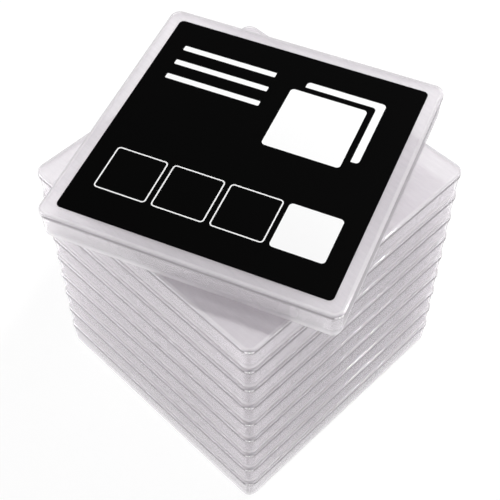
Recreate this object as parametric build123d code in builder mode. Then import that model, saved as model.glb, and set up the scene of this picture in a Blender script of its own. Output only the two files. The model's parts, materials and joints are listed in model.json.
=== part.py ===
from build123d import *

import os
from math import radians, tan

# A set of ten square paper storage boxes, stacked in a pile with the top one turned.
# Each box is a shallow moulded tray with a lift-off lid, and the top lid carries a label.
# Millimetres, +Z up, origin in the middle of the pile's foot on the surface it stands on.

# Driving dimensions of the set
box_count = 10
box_height = 25.0
turn_of_top_box = 21.87

# Lid: a flat panel with a short skirt round its edge
lid_side = 224.0
lid_corner_radius = 8.5
panel_thickness = 1.4
skirt_height = 4.5
skirt_thickness = 1.0
lid_edge_chamfer = 0.8

# Fit of the lid on the tray: the skirt slips over a rim that is set back from the wall
skirt_clearance = 0.25
shoulder_gap = 0.3
shoulder_width = 0.6

# Tray: drafted walls over a flat floor
wall_thickness = 1.6
floor_thickness = 1.5
wall_draft = 2.0
foot_chamfer = 0.8
foot_chamfer_angle = 45.0

# Label: a square of printed film with rounded corners, stuck on the top lid
label_margin = 10.4
label_corner_radius = 4.0
label_thickness = 0.2

# Heights in one closed box, measured from its foot
tray_height = box_height - panel_thickness
skirt_foot = box_height - skirt_height
shoulder_height = skirt_foot - shoulder_gap
rim_height = tray_height - shoulder_height

# Outlines, from the lid inwards, each with its corner radius kept parallel to the lid's
skirt_inner_side = lid_side - 2 * skirt_thickness
skirt_inner_radius = lid_corner_radius - skirt_thickness
rim_side = skirt_inner_side - 2 * skirt_clearance
rim_radius = skirt_inner_radius - skirt_clearance
wall_side = rim_side + 2 * shoulder_width
wall_radius = rim_radius + shoulder_width

# The wall's outline where its draft ends and the foot's chamfer begins
foot_inset = (shoulder_height - foot_chamfer) * tan(radians(wall_draft))
foot_side = wall_side - 2 * foot_inset
foot_radius = wall_radius - foot_inset

# The cavity has the wall's draft too, so it is wider at the rim's top than at the shoulder
mouth_inset = wall_thickness - rim_height * tan(radians(wall_draft))
mouth_side = wall_side - 2 * mouth_inset
mouth_radius = wall_radius - mouth_inset
label_side = lid_side - 2 * label_margin

os.makedirs("parts", exist_ok=True)

for level in range(box_count):
    # Every box stands on the lid below it, and the last one is turned about the pile's axis.
    turn = turn_of_top_box if level == box_count - 1 else 0.0
    foot_plane = Plane.XY.rotated((0, 0, turn)).offset(level * box_height)
    number = f"{level + 1:02d}"

    # Tray: the wall tapers down to a chamfered foot, and the rim stands inside the shoulder
    with BuildPart() as tray:
        with BuildSketch(foot_plane.offset(shoulder_height)):
            RectangleRounded(wall_side, wall_side, wall_radius)
        extrude(amount=foot_chamfer - shoulder_height, taper=wall_draft)
        with BuildSketch(foot_plane.offset(foot_chamfer)):
            RectangleRounded(foot_side, foot_side, foot_radius)
        extrude(amount=-foot_chamfer, taper=foot_chamfer_angle)
        with BuildSketch(foot_plane.offset(shoulder_height)):
            RectangleRounded(rim_side, rim_side, rim_radius)
        extrude(amount=rim_height)
        with BuildSketch(foot_plane.offset(tray_height)):
            RectangleRounded(mouth_side, mouth_side, mouth_radius)
        extrude(amount=floor_thickness - tray_height, taper=wall_draft, mode=Mode.SUBTRACT)
    tray.part.label = f"tray_{number}"
    export_step(tray.part, f"parts/tray_{number}.step")

    # Lid: the panel lands on the rim, and the skirt hangs outside the rim
    with BuildPart() as lid:
        with BuildSketch(foot_plane.offset(skirt_foot)):
            RectangleRounded(lid_side, lid_side, lid_corner_radius)
        extrude(amount=skirt_height)
        chamfer(lid.faces().sort_by(Axis.Z)[-1].edges(), lid_edge_chamfer)
        with BuildSketch(foot_plane.offset(skirt_foot)):
            RectangleRounded(skirt_inner_side, skirt_inner_side, skirt_inner_radius)
        extrude(amount=skirt_height - panel_thickness, mode=Mode.SUBTRACT)
    lid.part.label = f"lid_{number}"
    export_step(lid.part, f"parts/lid_{number}.step")

# Label: it lies flat on the turned top lid
with BuildPart() as label:
    with BuildSketch(foot_plane.offset(box_height)):
        RectangleRounded(label_side, label_side, label_corner_radius)
    extrude(amount=label_thickness)
label.part.label = "label"
export_step(label.part, "parts/label.step")
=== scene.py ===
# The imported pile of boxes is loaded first, and every piece below is fitted round it.
import json
import math

import bpy
import numpy as np
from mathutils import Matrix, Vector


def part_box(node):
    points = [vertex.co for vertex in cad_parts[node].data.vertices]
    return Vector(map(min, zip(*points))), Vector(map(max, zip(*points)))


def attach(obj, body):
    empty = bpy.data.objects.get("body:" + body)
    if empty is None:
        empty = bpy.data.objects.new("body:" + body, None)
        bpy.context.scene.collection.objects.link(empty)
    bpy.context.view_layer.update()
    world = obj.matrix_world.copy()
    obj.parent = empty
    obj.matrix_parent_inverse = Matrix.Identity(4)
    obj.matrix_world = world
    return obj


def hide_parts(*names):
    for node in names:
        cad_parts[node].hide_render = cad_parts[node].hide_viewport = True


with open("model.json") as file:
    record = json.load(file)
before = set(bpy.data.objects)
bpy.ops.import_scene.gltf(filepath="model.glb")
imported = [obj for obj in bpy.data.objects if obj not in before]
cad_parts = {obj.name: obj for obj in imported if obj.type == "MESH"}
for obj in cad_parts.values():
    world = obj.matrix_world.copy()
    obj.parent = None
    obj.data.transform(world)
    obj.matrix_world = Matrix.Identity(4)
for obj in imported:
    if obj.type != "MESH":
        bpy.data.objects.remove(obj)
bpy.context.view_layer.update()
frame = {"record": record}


# Tray: the lower half of a box, a shallow square dish moulded in clear polypropylene.
# Its walls taper to a rounded foot, and a thin rim stands inside a shoulder for the lid.
# It stands loose on the lid below it. Sizes are in metres, here and below.
tray_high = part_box("tray_01")[1]
lid_low, lid_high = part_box("lid_01")
lid_half = lid_high.x
wall_half = tray_high.x
box_height = lid_high.z
tray_height = tray_high.z
corner_radius = 0.0085
least_radius = 0.0012
wall_draft = math.radians(2.0)
wall_thickness = 0.0016
floor_thickness = 0.0015
shoulder_height = 0.0202
rim_half = 0.11075
foot_radius = 0.001
foot_recess = 0.0003
# Painted highlights: a bright line round the foot and a faint one along the floor's cove
foot_highlight = 0.6
cove_radius = 0.0012
cove_set_out = 0.0001
cove_highlight = 0.15
moulded_edge = 0.00025
centre_patch_half = 0.09
steps_per_corner = 14
steps_per_side = 10
# Share of each corner's round that carries the painted corner glint
glint_share_of_corner = 0.55
sharp_from = math.radians(32)


def arc(centre, radius, start, end, steps=6):
    """Points of a section on a round: centre plus radius times (cosine, sine), from start to end degrees."""
    angle = np.radians(np.linspace(start, end, steps + 1))
    return np.stack([centre[0] + radius * np.cos(angle), centre[1] + radius * np.sin(angle)], 1)


def run(points, edge_shade=0.0, painted_highlight=0.0, corner_edge_shade=None, corner_highlight=None):
    """Section points with four numbers each: the painted edge shade, where plastic seen edge on has thicker
    haze painted dark, and the painted highlight, along the sides and in the corners' middles. A pair runs from
    one value to another."""
    points = np.atleast_2d(np.asarray(points, float))
    corner_edge_shade = edge_shade if corner_edge_shade is None else corner_edge_shade
    corner_highlight = painted_highlight if corner_highlight is None else corner_highlight
    columns = [np.linspace(*value, len(points)) if isinstance(value, tuple) else np.full(len(points), value)
               for value in (edge_shade, painted_highlight, corner_edge_shade, corner_highlight)]
    return np.column_stack([points, *columns])


def rounded_square_rings(halves):
    """One ring for each half width: four quarter circles, parallel to the lid's corners, joined by sides.
    A point of a quarter circle is its centre plus the ring's own corner radius times (cosine, sine)."""
    halves = np.asarray(halves)[:, None, None]
    radii = np.maximum(corner_radius - (lid_half - halves), least_radius)
    corners = np.arange(4)[None, :, None]
    quarter = np.linspace(0, math.pi / 2, steps_per_corner + 1)[None, None, :]
    turn = corners * math.pi / 2 + quarter
    across = np.sign(np.cos(corners * math.pi / 2 + math.pi / 4)) * (halves - radii)
    along = np.sign(np.sin(corners * math.pi / 2 + math.pi / 4)) * (halves - radii)
    curved = np.stack([across + radii * np.cos(turn), along + radii * np.sin(turn)], -1)
    share = (np.arange(1, steps_per_side) / steps_per_side)[None, None, :, None]
    side_start = curved[:, :, -1:, :]
    side_end = np.roll(curved[:, :, :1, :], -1, axis=1)
    straight = side_start * (1 - share) + side_end * share
    ring = np.concatenate([curved, straight], axis=2)
    return ring.reshape(len(radii), -1, 2)


def placed(name, data):
    """An object in the scene that holds a mesh, a lamp's data or a camera's."""
    piece = bpy.data.objects.new(name, data)
    bpy.context.scene.collection.objects.link(piece)
    return piece


def moulding(name, section, foot, turned):
    """A closed shell: the section's points (half width, height) are carried round a rounded square,
    then the shell is turned about the pile's axis and lifted to the height of its box's foot.
    Its painted edge shade and painted highlight attributes run from the sides' numbers to the corners' in the
    corners' middles."""
    rings = rounded_square_rings(section[:, 0])
    rows, count = rings.shape[:2]
    cosine, sine = math.cos(turned), math.sin(turned)
    x = rings[..., 0] * cosine - rings[..., 1] * sine
    y = rings[..., 0] * sine + rings[..., 1] * cosine
    z = np.broadcast_to(section[:, 1:2] + foot, x.shape)
    points = np.stack([x, y, z], -1).reshape(-1, 3)
    row = np.arange(rows - 1)[:, None] * count
    step = np.arange(count)[None, :]
    after = (step + 1) % count
    quads = np.stack([row + step, row + after, row + count + after, row + count + step], -1)
    first_ring = np.arange(count)
    last_ring = (rows - 1) * count + first_ring
    faces = [*quads.reshape(-1, 4).tolist(), first_ring[::-1].tolist(), last_ring.tolist()]
    mesh = bpy.data.meshes.new(name)
    mesh.from_pydata(points.tolist(), [], faces)
    mesh.shade_smooth()
    mesh.set_sharp_from_angle(angle=sharp_from)
    # In each corner's middle the painted glint and painted shade values take over from the sides' ones
    share = np.linspace(-1, 1, steps_per_corner + 1)
    corner_glint = np.clip(1 - np.abs(share) / glint_share_of_corner, 0, 1)
    lit = np.tile(np.concatenate([corner_glint, np.zeros(steps_per_side - 1)]), 4)[None, :]
    for column, attribute in ((2, "edge_shade"), (3, "painted_highlight")):
        value = section[:, column, None] * (1 - lit) + section[:, column + 2, None] * lit
        layer = mesh.attributes.new(attribute, "FLOAT", "POINT")
        layer.data.foreach_set("value", value.astype(np.float32).ravel())
    return placed(name, mesh)


def tray_section():
    """The wall's section, from the underside's middle out round the foot, up to the rim and back in.
    A wall's half width grows with its height by the tangent of the draft."""
    slope = math.tan(wall_draft)
    foot_half = wall_half - shoulder_height * slope
    mouth_half = wall_half - wall_thickness + (tray_height - shoulder_height) * slope
    floor_half = mouth_half - (tray_height - floor_thickness) * slope
    foot_centre = (foot_half - foot_radius, foot_radius)
    shoulder_centre = (wall_half - moulded_edge, shoulder_height - moulded_edge)
    rim_centre = (rim_half - moulded_edge, tray_height - moulded_edge)
    mouth_centre = (mouth_half + moulded_edge, tray_height - moulded_edge)
    cove_centre = (floor_half - cove_radius + cove_set_out, floor_thickness + cove_radius)
    return np.concatenate([
        run([(centre_patch_half, foot_recess), (foot_half - 6 * foot_radius, foot_recess)]),
        run([(foot_half - 4 * foot_radius, 0)]),
        # The foot's round carries a painted highlight
        run(arc(foot_centre, foot_radius, -90, -2), painted_highlight=foot_highlight),
        run([(foot_half + 2 * foot_radius * slope, 2 * foot_radius)], painted_highlight=foot_highlight),
        run([(foot_half + 7 * foot_radius * slope, 7 * foot_radius)]),
        run([(wall_half - 4 * moulded_edge * slope, shoulder_height - 4 * moulded_edge)]),
        run(arc(shoulder_centre, moulded_edge, 0, 90, 3)),
        run([(rim_half, shoulder_height)]),
        run(arc(rim_centre, moulded_edge, 0, 90, 3)),
        run(arc(mouth_centre, moulded_edge, 90, 180, 3)),
        run([(mouth_half - 4 * moulded_edge * slope, tray_height - 5 * moulded_edge)]),
        # The cove carries a faint painted highlight, seen through the lid as a bright line
        run(arc(cove_centre, cove_radius, 0, -90, 5), painted_highlight=cove_highlight),
        run([(floor_half - 2 * cove_radius, floor_thickness), (centre_patch_half, floor_thickness)]),
    ])


# Clear polypropylene: the boxes' own plastic, glossy and slightly milky. Most light goes
# through it and some is scattered, more where an edge puts more plastic in the way; there
# it is also painted dark as shade, and bright lines and corner glints are painted highlights.
plastic_tint = (0.86, 0.835, 0.86)
# Painted shade: the dark colour of the edge lines. Painted highlight: the near white of the bright lines and
# corner glints.
painted_edge_shade_tint = (0.26, 0.25, 0.26)
painted_highlight_tint = (1.0, 0.98, 1.0)
# Painted shade: how dark what shows through turns at a steep slant
slant_shade_tint = (0.35, 0.34, 0.35)
slanting_from = 0.76
scattered_onwards = 0.5
haze_spread = 0.12
refractive_index = 1.49
most_sheen = 0.1
# Less gloss on the painted edge shade, and extra gloss that makes the painted highlights and glints, a painted
# reflection
edge_gloss = 0.04
highlight_gloss = 0.25
lamp_light_kept = 0.62


def moulded_skin_group():
    """A moulded skin: slow noise for flow marks and fine stretched noise for rubbing, each in 0 to 1."""
    group = bpy.data.node_groups.new("moulded_skin", "ShaderNodeTree")
    for socket, kind, way in (
        ("Vector", "NodeSocketVector", "INPUT"),
        ("Flow Scale", "NodeSocketFloat", "INPUT"),
        ("Scuff Scale", "NodeSocketFloat", "INPUT"),
        ("Flow", "NodeSocketFloat", "OUTPUT"),
        ("Scuff", "NodeSocketFloat", "OUTPUT"),
    ):
        group.interface.new_socket(name=socket, in_out=way, socket_type=kind)
    nodes, links = group.nodes, group.links
    inlet, outlet = nodes.new("NodeGroupInput"), nodes.new("NodeGroupOutput")
    flow = nodes.new("ShaderNodeTexNoise")
    flow.inputs["Detail"].default_value = 2
    flow.inputs["Distortion"].default_value = 0.6
    links.new(inlet.outputs["Vector"], flow.inputs["Vector"])
    links.new(inlet.outputs["Flow Scale"], flow.inputs["Scale"])
    links.new(flow.outputs["Fac"], outlet.inputs["Flow"])
    stretch = nodes.new("ShaderNodeMapping")
    stretch.inputs["Rotation"].default_value = (0, 0, math.radians(38))
    stretch.inputs["Scale"].default_value = (1, 5, 1)
    scuff = nodes.new("ShaderNodeTexNoise")
    scuff.inputs["Detail"].default_value = 4
    scuff.inputs["Roughness"].default_value = 0.65
    links.new(inlet.outputs["Vector"], stretch.inputs["Vector"])
    links.new(stretch.outputs["Vector"], scuff.inputs["Vector"])
    links.new(inlet.outputs["Scuff Scale"], scuff.inputs["Scale"])
    links.new(scuff.outputs["Fac"], outlet.inputs["Scuff"])
    return group


moulded_skin = moulded_skin_group()


def mixed(nodes, links, kind, factor, low, high):
    """What lies between low and high by a factor in 0 to 1, of the kind FLOAT or RGBA. Each of the two is
    a value or another node's output."""
    node = nodes.new("ShaderNodeMix")
    node.data_type = kind
    links.new(factor, node.inputs["Factor"])
    for socket, value in (("A", low), ("B", high)):
        if isinstance(value, (float, tuple)):
            node.inputs[socket].default_value = value
        else:
            links.new(value, node.inputs[socket])
    return node.outputs["Result"]


def sum_up(nodes, links, operation, *values):
    """A Math node's result for numbers or other nodes' outputs."""
    node = nodes.new("ShaderNodeMath")
    node.operation = operation
    for socket, value in zip(node.inputs, values):
        if isinstance(value, float):
            socket.default_value = value
        else:
            links.new(value, socket)
    return node.outputs[0]


def laid_over(nodes, links, share, below, above):
    """The upper shader by a share in 0 to 1, and the lower one for the rest."""
    node = nodes.new("ShaderNodeMixShader")
    if isinstance(share, float):
        node.inputs["Fac"].default_value = share
    else:
        links.new(share, node.inputs["Fac"])
    links.new(below, node.inputs[1])
    links.new(above, node.inputs[2])
    return node.outputs["Shader"]


def clear_plastic(name, haze, edge_haze, highlight_haze, gloss_roughness):
    """Clear plastic: a hazy share that scatters light both ways, over what shows through, under a gloss.
    The edge shade attribute darkens the haze and takes gloss away, as painted shade; the highlight attribute
    lightens it and adds gloss, as painted highlights and glints.
    What shows through is dimmer where it is seen at a slant, partly as its way through the plastic is longer
    and more strongly as painted shade.
    A lamp's light keeps about three fifths at each skin, and the eye sees through the skins as they are."""
    material = bpy.data.materials.new(name)
    material.use_nodes = True
    nodes, links = material.node_tree.nodes, material.node_tree.links
    nodes.clear()
    place = nodes.new("ShaderNodeTexCoord")
    skin = nodes.new("ShaderNodeGroup")
    skin.node_tree = moulded_skin
    skin.inputs["Flow Scale"].default_value = 14
    skin.inputs["Scuff Scale"].default_value = 60
    links.new(place.outputs["Object"], skin.inputs["Vector"])
    bump = nodes.new("ShaderNodeBump")
    bump.inputs["Strength"].default_value = 0.15
    bump.inputs["Distance"].default_value = 0.0006
    links.new(skin.outputs["Flow"], bump.inputs["Height"])
    edge_shade_mark, highlight_mark = nodes.new("ShaderNodeAttribute"), nodes.new("ShaderNodeAttribute")
    edge_shade_mark.attribute_name, highlight_mark.attribute_name = "edge_shade", "painted_highlight"
    edge_shade, painted_highlight = edge_shade_mark.outputs["Fac"], highlight_mark.outputs["Fac"]

    # The haze: its colour, the light that it scatters back and onwards, and its share of the skin
    # The edge shade attribute paints shade into the haze's colour, and the highlight attribute paints it near
    # white
    darker = mixed(nodes, links, "RGBA", edge_shade, (*plastic_tint, 1), (*painted_edge_shade_tint, 1))
    colour = mixed(nodes, links, "RGBA", painted_highlight, darker, (*painted_highlight_tint, 1))
    milk = nodes.new("ShaderNodeBsdfPrincipled")
    milk.inputs["Roughness"].default_value = 0.5
    milk.inputs["Specular IOR Level"].default_value = 0.0
    links.new(colour, milk.inputs["Base Color"])
    onwards = nodes.new("ShaderNodeBsdfTranslucent")
    links.new(colour, onwards.inputs["Color"])
    scatter = laid_over(nodes, links, scattered_onwards, milk.outputs["BSDF"], onwards.outputs["BSDF"])
    least_haze, most_haze = haze * (1 - haze_spread), haze * (1 + haze_spread)
    plain_haze = mixed(nodes, links, "FLOAT", skin.outputs["Scuff"], least_haze, most_haze)
    side_haze = mixed(nodes, links, "FLOAT", edge_shade, plain_haze, edge_haze)
    haze_share = mixed(nodes, links, "FLOAT", painted_highlight, side_haze, highlight_haze)

    # What shows through, dimmed from a steep slant on, more than the longer way would, as painted shade
    facing = nodes.new("ShaderNodeLayerWeight")
    facing.inputs["Blend"].default_value = 0.5
    slanting = nodes.new("ShaderNodeMapRange")
    links.new(facing.outputs["Facing"], slanting.inputs["Value"])
    slanting.inputs["From Min"].default_value = slanting_from
    slanting.inputs["From Max"].default_value = 1.0
    dimmed = mixed(nodes, links, "RGBA", slanting.outputs["Result"], (1, 1, 1, 1), (*slant_shade_tint, 1))
    through = nodes.new("ShaderNodeBsdfTransparent")
    links.new(dimmed, through.inputs["Color"])
    body = laid_over(nodes, links, haze_share, through.outputs["BSDF"], scatter)

    # The gloss, on the outer side of each skin only
    gloss = nodes.new("ShaderNodeBsdfGlossy")
    gloss.inputs["Roughness"].default_value = gloss_roughness
    links.new(bump.outputs["Normal"], gloss.inputs["Normal"])
    fresnel = nodes.new("ShaderNodeFresnel")
    fresnel.inputs["IOR"].default_value = refractive_index
    links.new(bump.outputs["Normal"], fresnel.inputs["Normal"])
    sheen = sum_up(nodes, links, "MINIMUM", fresnel.outputs["Fac"], most_sheen)
    # Painted reflection: the highlight attribute adds gloss for the bright lines and glints; the edge shade
    # attribute takes gloss away
    sheen_and_glint = sum_up(nodes, links, "MULTIPLY_ADD", painted_highlight, highlight_gloss, sheen)
    skin_gloss = mixed(nodes, links, "FLOAT", edge_shade, sheen_and_glint, edge_gloss)
    side = nodes.new("ShaderNodeNewGeometry")
    outer = sum_up(nodes, links, "SUBTRACT", 1.0, side.outputs["Backfacing"])
    gloss_share = sum_up(nodes, links, "MULTIPLY", skin_gloss, outer)
    surface = laid_over(nodes, links, gloss_share, body, gloss.outputs["BSDF"])

    # A lamp's light on its way to something behind the skin
    passed_on = nodes.new("ShaderNodeBsdfTransparent")
    passed_on.inputs["Color"].default_value = (lamp_light_kept, lamp_light_kept, lamp_light_kept, 1)
    ray = nodes.new("ShaderNodeLightPath")
    seen_or_lit = laid_over(nodes, links, ray.outputs["Is Shadow Ray"], surface, passed_on.outputs["BSDF"])
    output = nodes.new("ShaderNodeOutputMaterial")
    links.new(seen_or_lit, output.inputs["Surface"])
    return material


tray_plastic = clear_plastic(
    "tray_plastic", haze=0.3, edge_haze=0.5, highlight_haze=0.6, gloss_roughness=0.08)
bodies = frame["record"]["behaviour"]["bodies"]
box_numbers = sorted(name[-2:] for name in bodies if name.startswith("tray_"))
turn_of_top_box = math.radians(21.87)


def turn_of(number):
    """Only the last box is turned on the pile."""
    return turn_of_top_box if number == box_numbers[-1] else 0.0


for level, number in enumerate(box_numbers):
    tray = moulding(f"clear_tray_{number}", tray_section(), level * box_height, turn_of(number))
    tray.data.materials.append(tray_plastic)
    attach(tray, f"tray_{number}")
    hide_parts(f"tray_{number}")


# Lid: a flat panel with a short skirt, moulded in the same plastic. The panel lands on the
# tray's rim and the skirt slips over it; it comes off straight up.
skirt_foot = lid_low.z
skirt_thickness = 0.001
skirt_inner_half = lid_half - skirt_thickness
skirt_inner_corner = 0.0003
skirt_lip_radius = 0.0004
# Painted glint in the middle of each skirt corner, and a painted highlight along the lid's top edge
skirt_corner_glint = 3.4
under_panel_half = rim_half - 0.002
lid_edge_radius = 0.0012
lid_edge_highlight = 0.4


def lid_section():
    """The lid's section, from under the panel out to the skirt, round its lip and back over the top."""
    lip_height = skirt_foot + skirt_lip_radius
    round_height = box_height - lid_edge_radius
    skirt = np.linspace(lip_height, round_height, 7)[1:-1]
    under_corner = (skirt_inner_half - skirt_inner_corner, tray_height - skirt_inner_corner)
    inner_lip, outer_lip = skirt_inner_half + skirt_lip_radius, lid_half - skirt_lip_radius
    lid_side = np.column_stack([np.full(len(skirt), lid_half), skirt])
    return np.concatenate([
        run([(centre_patch_half, tray_height), (under_panel_half, tray_height)]),
        run(arc(under_corner, skirt_inner_corner, 90, 0, 3)),
        run(arc((inner_lip, lip_height), skirt_lip_radius, 180, 270, 3)),
        # Painted shade along the lip and the skirt, with painted dark arcs at the corners' lip and round edge
        # on either side of the painted corner glint; a painted highlight along the top edge
        run(arc((outer_lip, lip_height), skirt_lip_radius, 270, 360, 3), edge_shade=(0.2, 0.6), corner_edge_shade=1.0),
        run(lid_side[:1], edge_shade=0.9, corner_edge_shade=1.0),
        run(lid_side[1:4], edge_shade=1.0, corner_edge_shade=0.0, corner_highlight=skirt_corner_glint),
        run(lid_side[4:], edge_shade=0.8, corner_edge_shade=0.0, corner_highlight=skirt_corner_glint),
        run(arc((lid_half - lid_edge_radius, round_height), lid_edge_radius, 0, 90, 8),
            edge_shade=(0.7, 0.0), painted_highlight=(0.0, lid_edge_highlight), corner_edge_shade=(1.0, 0.3), corner_highlight=0.0),
        run([(lid_half - 1.6 * lid_edge_radius, box_height)], painted_highlight=lid_edge_highlight),
        run([(lid_half - 2.6 * lid_edge_radius, box_height), (centre_patch_half, box_height)]),
    ])


lid_plastic = clear_plastic(
    "lid_plastic", haze=0.39, edge_haze=0.8, highlight_haze=0.7, gloss_roughness=0.06)
for level, number in enumerate(box_numbers):
    lid = moulding(f"clear_lid_{number}", lid_section(), level * box_height, turn_of(number))
    lid.data.materials.append(lid_plastic)
    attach(lid, f"lid_{number}")
    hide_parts(f"lid_{number}")


# Label: a square of matt printed film with rounded corners, stuck flat on the top lid.
# It is black, with plain white shapes: a sheet motif, three bars and a row of squares.
label_low, label_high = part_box("label")
label_half = 0.1016
label_radius = 0.004
label_steps_per_corner = 10
film_black = (0.001, 0.001, 0.001, 1)
print_white = (0.9, 0.9, 0.9, 1)


def label_piece():
    """A thin rounded square: each corner is a quarter circle, its centre plus the radius times (cosine,
    sine), and the sheet is turned with its box. Its UV map holds metres from the label's middle."""
    start = np.arange(4)[:, None] * math.pi / 2
    turn = start + np.linspace(0, math.pi / 2, label_steps_per_corner + 1)[None, :]
    reach = label_half - label_radius
    across = np.sign(np.cos(start + math.pi / 4)) * reach + label_radius * np.cos(turn)
    along = np.sign(np.sin(start + math.pi / 4)) * reach + label_radius * np.sin(turn)
    outline = np.stack([across, along], -1).reshape(-1, 2)
    count = len(outline)
    cosine, sine = math.cos(turn_of_top_box), math.sin(turn_of_top_box)
    turned = outline @ np.array([[cosine, sine], [-sine, cosine]])
    lower = np.column_stack([turned, np.full(count, label_low.z)])
    upper = np.column_stack([turned, np.full(count, label_high.z)])
    step = np.arange(count)
    after = (step + 1) % count
    around = np.stack([step, after, count + after, count + step], -1)
    faces = [*around.tolist(), step[::-1].tolist(), (count + step).tolist()]
    mesh = bpy.data.meshes.new("printed_label")
    mesh.from_pydata(np.concatenate([lower, upper]).tolist(), [], faces)
    corners = np.zeros(len(mesh.loops), np.int32)
    mesh.loops.foreach_get("vertex_index", corners)
    flat = np.concatenate([outline, outline])[corners]
    print_map = mesh.uv_layers.new(name="print")
    print_map.data.foreach_set("uv", flat.astype(np.float32).ravel())
    return placed("printed_label", mesh)


def printed_box_group():
    """A mask that is 1 inside a rounded rectangle: distance past the inner corner, less the corner radius."""
    group = bpy.data.node_groups.new("printed_box", "ShaderNodeTree")
    for socket in ("U", "V", "Middle U", "Middle V", "Half Width", "Half Height", "Corner"):
        group.interface.new_socket(name=socket, in_out="INPUT", socket_type="NodeSocketFloat")
    group.interface.new_socket(name="Mask", in_out="OUTPUT", socket_type="NodeSocketFloat")
    nodes, links = group.nodes, group.links
    inlet, outlet = nodes.new("NodeGroupInput"), nodes.new("NodeGroupOutput")
    squares = []
    for axis, middle, half in (("U", "Middle U", "Half Width"), ("V", "Middle V", "Half Height")):
        offset = sum_up(nodes, links, "SUBTRACT", inlet.outputs[axis], inlet.outputs[middle])
        away = sum_up(nodes, links, "ABSOLUTE", offset)
        inner = sum_up(nodes, links, "SUBTRACT", inlet.outputs[half], inlet.outputs["Corner"])
        past = sum_up(nodes, links, "MAXIMUM", sum_up(nodes, links, "SUBTRACT", away, inner), 0.0)
        squares.append(sum_up(nodes, links, "MULTIPLY", past, past))
    distance = sum_up(nodes, links, "SQRT", sum_up(nodes, links, "ADD", *squares))
    beyond = sum_up(nodes, links, "SUBTRACT", distance, inlet.outputs["Corner"])
    links.new(sum_up(nodes, links, "LESS_THAN", beyond, 0.0), outlet.inputs["Mask"])
    return group


printed_box = printed_box_group()

# Printed shapes in millimetres, each laid over those before it: tone, middle across,
# middle up, width, height, corner radius
sheet_motif = [(1.0, 46, 46, 62, 62, 3), (0.0, 38, 38, 66, 66, 3), (1.0, 36, 36, 60, 60, 3)]
bars = [(1.0, -48, up, 76, 5, 1) for up in (74, 58, 42)]
open_squares = [square for across in (-66, -22, 22)
                for square in ((1.0, across, -56, 40, 40, 3), (0.0, across, -56, 38, 38, 2))]
solid_square = [(1.0, 66, -56, 40, 40, 3)]


def printed_film():
    """Black film with white print: each printed shape is a rounded rectangle, added or cut out in turn."""
    material = bpy.data.materials.new("label_film")
    material.use_nodes = True
    nodes, links = material.node_tree.nodes, material.node_tree.links
    film = nodes["Principled BSDF"]
    place = nodes.new("ShaderNodeUVMap")
    place.uv_map = "print"
    apart = nodes.new("ShaderNodeSeparateXYZ")
    links.new(place.outputs["UV"], apart.inputs["Vector"])
    ink = 0.0
    for tone, u, v, width, height, corner in sheet_motif + bars + open_squares + solid_square:
        shape = nodes.new("ShaderNodeGroup")
        shape.node_tree = printed_box
        links.new(apart.outputs["X"], shape.inputs["U"])
        links.new(apart.outputs["Y"], shape.inputs["V"])
        shape.inputs["Middle U"].default_value = u / 1000
        shape.inputs["Middle V"].default_value = v / 1000
        shape.inputs["Half Width"].default_value = width / 2000
        shape.inputs["Half Height"].default_value = height / 2000
        shape.inputs["Corner"].default_value = corner / 1000
        ink = mixed(nodes, links, "FLOAT", shape.outputs["Mask"], ink, tone)
    colour = mixed(nodes, links, "RGBA", ink, film_black, print_white)
    links.new(colour, film.inputs["Base Color"])
    film.inputs["Roughness"].default_value = 0.62
    film.inputs["Specular IOR Level"].default_value = 0.01
    return material


label = label_piece()
label.data.materials.append(printed_film())
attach(label, "lid_10")
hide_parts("label")


# Stage: a plain pale floor, a white surround and soft studio lamps, none of them part of the boxes.
# The lamps' places and powers come from fits to how light each part of the photograph is.
floor_reach = 6.0
floor_drop = 0.0002
floor_colour = (0.9, 0.9, 0.9, 1)
floor_white = 1.05
floor_white_share = 0.88
surround_colour = (0.95, 0.95, 0.96, 1)
surround_strength = 0.08


def stage_floor():
    """A wide flat square just under the feet, pale to the lamps and near white to the camera, that keeps
    the pile's shadow."""
    corners = [(x * floor_reach, y * floor_reach, -floor_drop) for x, y in ((-1, -1), (1, -1), (1, 1), (-1, 1))]
    mesh = bpy.data.meshes.new("floor")
    mesh.from_pydata(corners, [], [(0, 1, 2, 3)])
    material = bpy.data.materials.new("pale_floor")
    material.use_nodes = True
    nodes, links = material.node_tree.nodes, material.node_tree.links
    nodes.clear()
    lit = nodes.new("ShaderNodeBsdfDiffuse")
    lit.inputs["Color"].default_value = floor_colour
    white = nodes.new("ShaderNodeEmission")
    white.inputs["Strength"].default_value = floor_white
    ray = nodes.new("ShaderNodeLightPath")
    seen = sum_up(nodes, links, "MAXIMUM", ray.outputs["Is Camera Ray"], ray.outputs["Is Glossy Ray"])
    share = sum_up(nodes, links, "MULTIPLY", seen, floor_white_share)
    surface = laid_over(nodes, links, share, lit.outputs["BSDF"], white.outputs["Emission"])
    output = nodes.new("ShaderNodeOutputMaterial")
    links.new(surface, output.inputs["Surface"])
    mesh.materials.append(material)
    return placed("floor", mesh)


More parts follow.
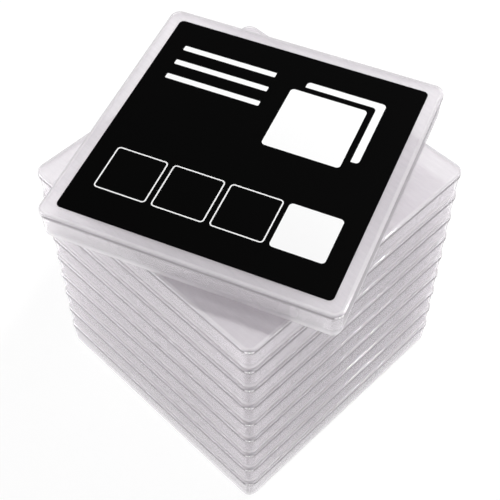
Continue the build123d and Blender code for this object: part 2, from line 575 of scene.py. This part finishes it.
def studio_world():
    """A surround that lights the boxes faintly, and is white to the camera and in what shines."""
    world = bpy.data.worlds.new("studio")
    world.use_nodes = True
    nodes, links = world.node_tree.nodes, world.node_tree.links
    nodes.clear()
    surround = nodes.new("ShaderNodeBackground")
    surround.inputs["Color"].default_value = surround_colour
    surround.inputs["Strength"].default_value = surround_strength
    white = nodes.new("ShaderNodeBackground")
    white.inputs["Color"].default_value = (1, 1, 1, 1)
    white.inputs["Strength"].default_value = 1.0
    ray = nodes.new("ShaderNodeLightPath")
    seen = sum_up(nodes, links, "MAXIMUM", ray.outputs["Is Camera Ray"], ray.outputs["Is Glossy Ray"])
    seen = sum_up(nodes, links, "MAXIMUM", seen, ray.outputs["Is Transmission Ray"])
    backdrop = laid_over(nodes, links, seen, surround.outputs["Background"], white.outputs["Background"])
    output = nodes.new("ShaderNodeOutputWorld")
    links.new(backdrop, output.inputs["Surface"])
    return world


def seen_from(azimuth, elevation):
    """The unit vector (sin a cos e, -cos a cos e, sin e) for an azimuth a and an elevation e in degrees,
    and the turn that looks back along it: 90 degrees less e about X, then a about Z."""
    a, e = math.radians(azimuth), math.radians(elevation)
    towards = np.array([math.sin(a) * math.cos(e), -math.cos(a) * math.cos(e), math.sin(e)])
    return towards, (math.pi / 2 - e, 0, a)


def soft_lamp(name, azimuth, elevation, distance, width, height, power):
    """A softbox that faces the pile's middle, its distance and size in metres and its power in watts."""
    light = bpy.data.lights.new(name, "AREA")
    light.shape = "RECTANGLE"
    light.size = width
    light.size_y = height
    light.energy = power
    lamp = placed(name, light)
    towards, lamp.rotation_euler = seen_from(azimuth, elevation)
    lamp.location = np.array([0, 0, 5 * box_height]) + distance * towards


stage_floor()
bpy.context.scene.world = studio_world()
soft_lamp("back_key", 170, 62, 1.6, 0.14, 0.14, 23)
soft_lamp("left_low", -45, 15, 1.6, 0.8, 0.8, 14.2)
soft_lamp("left_floor", -30, -2, 1.1, 1.0, 0.16, 8.8)
soft_lamp("right_floor", 118, -2, 1.1, 1.0, 0.16, 8)

# Camera: the photograph's own view, over the corner of the pile from about 53 degrees up.
# Its place and aim come from a fit to the lids' edges and the label's sides.
camera_azimuth = 45.0
camera_elevation = 53.36
focal_length = 80.0
distance_in_lids = 3.4455
target = np.array([0.05073, -0.05017, 0.22285])
lens = bpy.data.cameras.new("camera")
lens.lens = focal_length
lens.sensor_width = 36.0
camera = placed("camera", lens)
towards, camera.rotation_euler = seen_from(camera_azimuth, camera_elevation)
camera.location = target + distance_in_lids * 2 * lid_half * towards
bpy.context.scene.camera = camera

bpy.context.scene.view_settings.view_transform = "Standard"
bpy.context.scene.cycles.transparent_max_bounces = 48
